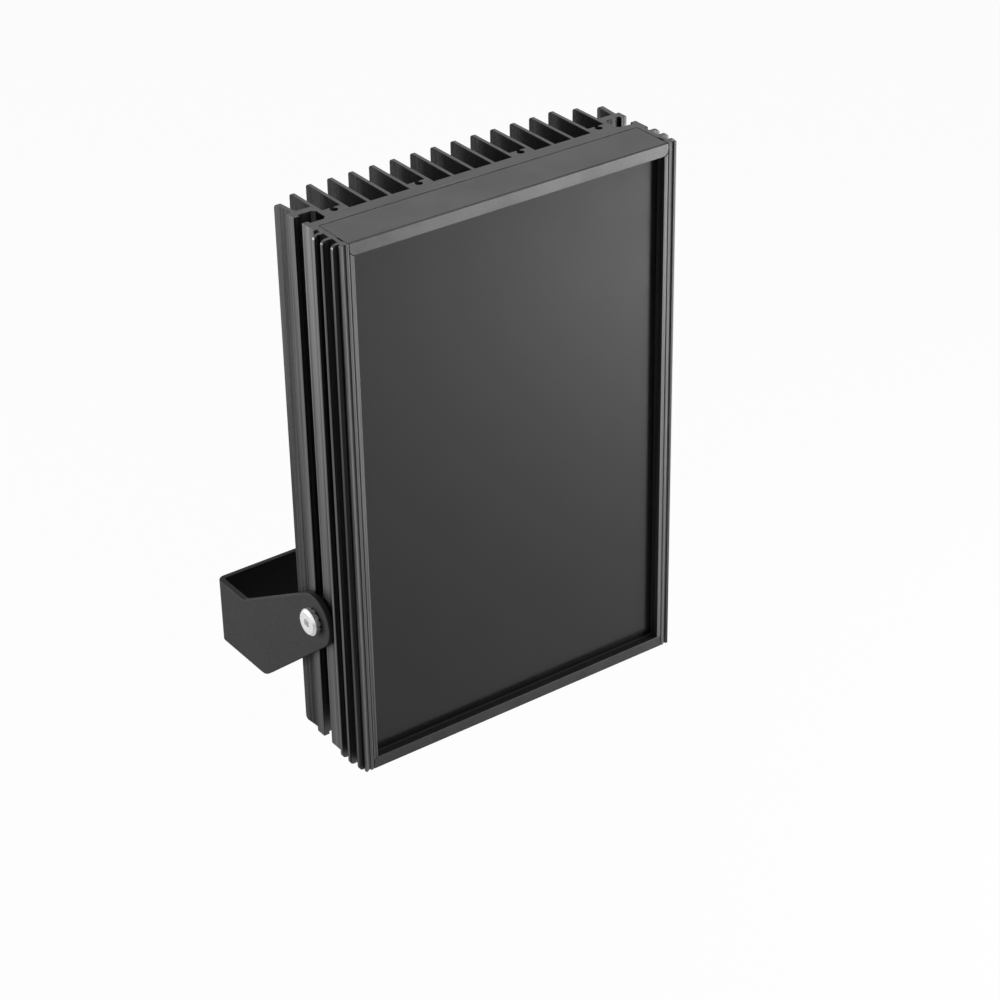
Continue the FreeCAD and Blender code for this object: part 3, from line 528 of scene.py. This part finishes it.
def welded_copy(node):
    mesh = bmesh.new()
    mesh.from_mesh(frame["nodes"][node].data)
    bmesh.ops.remove_doubles(mesh, verts=mesh.verts, dist=weld_mm * MM)
    bmesh.ops.dissolve_limit(
        mesh, angle_limit=radians(flat_degrees), use_dissolve_boundaries=False,
        verts=mesh.verts, edges=mesh.edges)
    return mesh


def turning_edges(mesh):
    return [edge for edge in mesh.edges
            if len(edge.link_faces) == 2 and edge.calc_face_angle(0) > radians(edge_degrees)]


def ease_edges(mesh, width_mm, segments=2):
    bmesh.ops.bevel(
        mesh, geom=turning_edges(mesh), offset=width_mm * MM, offset_type="OFFSET", affect="EDGES",
        segments=segments, profile=0.5, material=-1, clamp_overlap=False)


print("edges that turn by more than", edge_degrees, "degrees get eased")

# %% [markdown]
# The dressed copy takes the place of its node: it rides on the same body and takes the finish of
# the same slot.
# Shading is smooth across small turns and stops at sharp ones, and weighted normals keep the flats
# flat. A bevel can push a point out where edges crowd, so each point is brought back into the
# node's own box.

# %% Dressing a node
sharp_degrees = 50


def finished_piece(mesh, node, name):
    data = bpy.data.meshes.new(name)
    mesh.to_mesh(data)
    mesh.free()
    data.materials.append(finishes[slot_of_node[node]])
    data.shade_smooth()
    data.set_sharp_from_angle(angle=radians(sharp_degrees))
    piece = bpy.data.objects.new(name, data)
    bpy.context.scene.collection.objects.link(piece)
    weighted = piece.modifiers.new("flat_faces_stay_flat", "WEIGHTED_NORMAL")
    weighted.keep_sharp = True
    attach(piece, body_of_node[node])
    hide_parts(node)
    print(name, "faces:", len(data.polygons))
    return piece


def eased(node, width_mm):
    mesh = welded_copy(node)
    low = [min(vert.co[axis] for vert in mesh.verts) for axis in range(3)]
    high = [max(vert.co[axis] for vert in mesh.verts) for axis in range(3)]
    ease_edges(mesh, width_mm)
    for vert in mesh.verts:
        vert.co = [min(max(value, least), most) for value, least, most in zip(vert.co, low, high)]
    return finished_piece(mesh, node, node + "_eased")


print("shading stops at edges that turn by more than", sharp_degrees, "degrees")

# %% [markdown]
# The extrusion gets a fine edge, as its fins are thin. Faces that look straight up or down are the
# sawn ends, and they take the sawn finish. The fins' sides and the floor between them take the fin
# skin with its painted shade, and the fins' tips keep the finish of the outside. The wings' sides
# come last, with their own painted shade. A face's normal says where it looks: its share along an
# axis is 1 when it looks straight that way.

# %% Housing
housing = eased("housing_extrusion", width_mm=0.15)
housing.data.materials.append(sawn_end)
# The fin and wing skins carry painted shade in their darker tones.
housing.data.materials.append(fin_side_painted_shade)
housing.data.materials.append(wing_side_painted_shade)
fins_start, fins_half, wings_start = -92.5 * MM, 79.0 * MM, -81.3 * MM
close_by = 0.1 * MM
straight, mostly, half = 0.999, 0.9, 0.5
sawn_index, fin_index, wing_index = 1, 2, 3
for face in housing.data.polygons:
    sideways = abs(face.normal.y) < half
    among_fins = face.center.y > fins_start - close_by and abs(face.center.x) < fins_half
    on_floor = abs(face.center.y - fins_start) < close_by
    if abs(face.normal.z) > straight:
        face.material_index = sawn_index
    elif among_fins and (sideways or on_floor):
        face.material_index = fin_index
    elif face.center.y > wings_start and sideways:
        face.material_index = wing_index
print("fin sides:", sum(face.material_index == fin_index for face in housing.data.polygons))

# %% [markdown]
# Caps, window and the small pieces are eased the same way, each by what its making gives: a milled
# cap has a small chamfer, the acrylic is cut and barely scraped, and a washer is only tumbled.

# %% Caps, window and small pieces
edge_widths_mm = {
    "bottom_end_cap": 0.3, "top_end_cap": 0.3, "front_window": 0.2,
    "pivot_bolt_left": 0.12, "pivot_bolt_right": 0.12,
    "lock_washer_left": 0.08, "lock_washer_right": 0.08,
    "pivot_washer_left": 0.15, "pivot_washer_right": 0.15,
    "slot_nut_left": 0.3, "slot_nut_right": 0.3,
    "gland_body": 0.3, "gland_nut": 0.12, "gland_ring": 0.15,
}
dressed = {node: eased(node, width_mm) for node, width_mm in edge_widths_mm.items()}
# The lower cap takes the darker copy, whose tones are painted shade.
dressed["bottom_end_cap"].data.materials[0] = lower_cap_painted_shade

# %% [markdown]
# The bracket is one folded strip, and the powder rounds its sheared edges. Its back looks to the
# lamp with its inner side, and its arms look to the middle with theirs. Those faces take the thin
# coat, whose darker tones are painted shade.

# %% Bracket
bracket = eased("mounting_bracket", width_mm=0.5)
bracket.data.materials.append(thin_coat_painted_shade)
arms_inside, back_inside = 85.0 * MM, -5.0 * MM
# Inside the fold the faces take the darker coat, which is painted shade.
for face in bracket.data.polygons:
    on_back = face.normal.y < -mostly and face.center.y > back_inside
    to_middle = abs(face.normal.x) > mostly and face.normal.x * face.center.x < 0
    if on_back or (to_middle and abs(face.center.x) > arms_inside):
        face.material_index = 1
print("inner faces:", sum(face.material_index for face in bracket.data.polygons))

# %% [markdown]
# Eight screws hold the caps from behind, and their heads show between the fins. In the frame the
# heads are plain. Here the flat top of each head is inset, the inset ring is drawn onto a hexagon,
# and the hexagon is pushed in to make the socket for the key.

# %% Cap screws
head_rim_mm, socket_across_mm, socket_deep_mm = 1.2, 2.5, 1.6
head_edge_mm = 0.06


def sink_socket(mesh, top):
    bmesh.ops.inset_individual(mesh, faces=[top], thickness=head_rim_mm * MM, depth=0.0)
    centre = top.calc_center_median()
    first = atan2(top.verts[0].co.z - centre.z, top.verts[0].co.x - centre.x)
    for vert in top.verts:
        angle = atan2(vert.co.z - centre.z, vert.co.x - centre.x)
        reach = socket_across_mm / 2 * MM / cos((angle - first) % (pi / 3) - pi / 6)
        vert.co = centre + Vector((cos(angle), 0, sin(angle))) * reach
    pushed = bmesh.ops.extrude_discrete_faces(mesh, faces=[top])["faces"][0]
    bmesh.ops.translate(mesh, verts=pushed.verts, vec=(0, -socket_deep_mm * MM, 0))


for node in ("top_cap_screws", "bottom_cap_screws"):
    screws = welded_copy(node)
    screws.normal_update()
    rear = max(vert.co.y for vert in screws.verts)
    tops = [face for face in screws.faces
            if face.normal.y > straight and abs(face.calc_center_median().y - rear) < close_by]
    for top in tops:
        sink_socket(screws, top)
    screws.normal_update()
    ease_edges(screws, head_edge_mm, segments=1)
    print("sockets:", len(tops))
    finished_piece(screws, node, node + "_with_sockets")

# %% [markdown]
# The floor of the studio is one big square.

# %% Floor
floor_half = 8.0
floor_mesh = bmesh.new()
bmesh.ops.create_grid(floor_mesh, x_segments=1, y_segments=1, size=floor_half)
bmesh.ops.translate(floor_mesh, verts=floor_mesh.verts, vec=(0, 0, floor_height))
floor_data = bpy.data.meshes.new("studio_floor")
floor_mesh.to_mesh(floor_data)
floor_mesh.free()
floor = bpy.data.objects.new("studio_floor", floor_data)
bpy.context.scene.collection.objects.link(floor)
floor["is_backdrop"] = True
print("floor laid, out to", floor_half, "m each way")

# %% [markdown]
# The floor is white. To the camera it glows at full white, but a small share of what the camera
# sees is real white paint, so the floor keeps the soft shadow of the lamp. In gloss the floor is
# mostly paint, so shiny faces mirror the light and shade that lie on it. The Light Path node tells
# which kind of ray is looking.

# %% Floor paint
glow_to_camera, glow_in_gloss = 0.95, 0.05
floor_paint = bpy.data.materials.new("white_floor")
floor_paint.use_nodes = True
tree = floor_paint.node_tree
tree.nodes.clear()
rays = add(tree, "ShaderNodeLightPath", {}).outputs
gloss_or_glass = add(tree, "ShaderNodeMath", {
    0: rays["Is Glossy Ray"], 1: rays["Is Transmission Ray"]}, operation="MAXIMUM")
mirrored = add(tree, "ShaderNodeMath", {
    0: gloss_or_glass.outputs[0], 1: glow_in_gloss}, operation="MULTIPLY")
direct = add(tree, "ShaderNodeMath", {
    0: rays["Is Camera Ray"], 1: glow_to_camera}, operation="MULTIPLY")
share = add(tree, "ShaderNodeMath", {
    0: mirrored.outputs[0], 1: direct.outputs[0]}, operation="MAXIMUM")
paint = add(tree, "ShaderNodeBsdfDiffuse", {"Color": colour("#e0e0e0")})
glow = add(tree, "ShaderNodeEmission", {"Color": colour("#ffffff"), "Strength": 1.0})
both = add(tree, "ShaderNodeMixShader", {
    0: share.outputs[0], 1: paint.outputs[0], 2: glow.outputs[0]})
add(tree, "ShaderNodeOutputMaterial", {"Surface": both.outputs[0]})
floor_data.materials.append(floor_paint)
print("made", floor_paint.name)

# %% [markdown]
# Round the studio everything is white as well. The camera, gloss and glass see it at full white.
# What it throws on the lamp as light is set apart and is weaker, so that black stays black.

# %% Surround
surround_as_light, surround_as_seen = 0.42, 1.0
world = bpy.data.worlds.new("white_surround")
bpy.context.scene.world = world
world.use_nodes = True
tree = world.node_tree
tree.nodes.clear()
rays = add(tree, "ShaderNodeLightPath", {}).outputs
camera_or_gloss = add(tree, "ShaderNodeMath", {
    0: rays["Is Camera Ray"], 1: rays["Is Glossy Ray"]}, operation="MAXIMUM")
seen = add(tree, "ShaderNodeMath", {
    0: camera_or_gloss.outputs[0], 1: rays["Is Transmission Ray"]}, operation="MAXIMUM")
strength = add(tree, "ShaderNodeMapRange", {
    "Value": seen.outputs[0], "To Min": surround_as_light, "To Max": surround_as_seen})
sky = add(tree, "ShaderNodeBackground", {
    "Color": colour("#ffffff"), "Strength": strength.outputs[0]})
add(tree, "ShaderNodeOutputWorld", {"Surface": sky.outputs[0]})
print("made", world.name)

# %% [markdown]
# Two soft boxes light the lamp. The big one stands on the left and behind, and draws the side fins,
# the wings and the bracket. The small one stands at the front right. The window mirrors it and the
# pool of light that it throws on the floor, and that gives the long gradient, bright at the top
# right. Both stand well clear of the lamp, however far it tilts or slides.

# %% Lamps
def soft_box(name, place, aim, width, height, watts):
    data = bpy.data.lights.new(name, "AREA")
    data.shape = "RECTANGLE"
    data.size = width
    data.size_y = height
    data.energy = watts
    box = bpy.data.objects.new(name, data)
    bpy.context.scene.collection.objects.link(box)
    turn = (Vector(place) - Vector(aim)).to_track_quat("Z", "Y")
    box.matrix_world = Matrix.Translation(place) @ turn.to_matrix().to_4x4()


soft_box("right_box", place=(0.92, -0.78, 0.12), aim=(0.62, -0.6, -0.17),
         width=0.3, height=0.3, watts=17.0)
soft_box("left_box", place=(-1.1, 0.9, 0.15), aim=(-0.3, 0.2, 0.0),
         width=0.5, height=0.4, watts=15.0)
print("lamps:", [light.name for light in bpy.data.lights])

# %% [markdown]
# The picture keeps Blender's plain colour view, so a colour shows as it is written.

# %% Finish
bpy.context.scene.view_settings.view_transform = "Standard"
visual_box = [list(corner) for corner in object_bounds()]
largest = max(abs(a - b) for one, two in zip(cad_box, visual_box) for a, b in zip(one, two))
print("largest change in mm:", round(largest / MM, 3))
